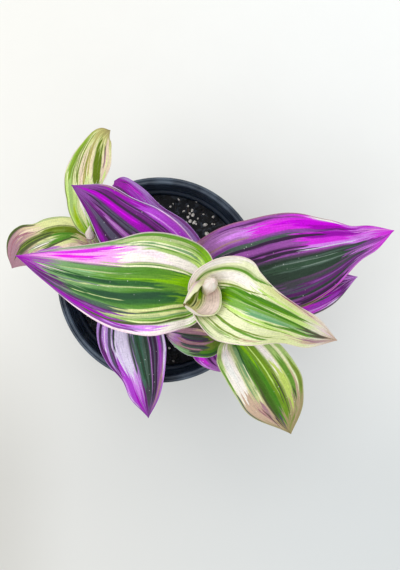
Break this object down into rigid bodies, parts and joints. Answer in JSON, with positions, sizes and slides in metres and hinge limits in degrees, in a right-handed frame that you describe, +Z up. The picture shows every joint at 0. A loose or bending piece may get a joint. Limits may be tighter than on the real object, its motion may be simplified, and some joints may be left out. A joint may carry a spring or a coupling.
{
  "type": "potted tradescantia",
  "caption": "Trailing house plant with broad striped green, cream and magenta leaves, in a round black nursery pot full of potting mix.",
  "frame": {"origin": "middle of the pot's foot, on the ground", "axes": "+Z up along the pot's axis, +X and +Y level, the longest leaves reaching towards +X"},
  "size_m": [0.1881, 0.1492, 0.171],
  "materials": {
    "pot_plastic": "satin black",
    "potting_mix": "rough, dark brown, with white perlite",
    "stem_green": "satin",
    "stem_tan": "satin",
    "leaf_magenta": "satin, striped",
    "leaf_purple": "satin, striped",
    "leaf_plum": "satin, striped",
    "leaf_green": "satin, striped",
    "leaf_lime": "satin, striped",
    "leaf_cream": "satin, striped",
    "bud_blush": "satin"
  },
  "bodies": {
    "root": {"pot": "pot_plastic", "soil": "potting_mix", "stem_main": "stem_green", "leaf_main_1": "leaf_magenta", "leaf_main_2": "leaf_magenta", "leaf_main_3": "leaf_purple", "leaf_main_4": "leaf_plum", "leaf_main_5": "leaf_green", "leaf_main_6": "leaf_cream", "leaf_main_7": "leaf_cream", "bud_main": "bud_blush", "stem_left": "stem_tan", "leaf_left_1": "leaf_purple", "leaf_left_2": "leaf_lime", "leaf_left_3": "leaf_lime", "bud_left": "bud_blush", "stem_front": "stem_green", "leaf_front_1": "leaf_magenta", "leaf_front_2": "leaf_green", "leaf_front_3": "leaf_lime", "bud_front": "bud_blush"}
  },
  "joints": []
}
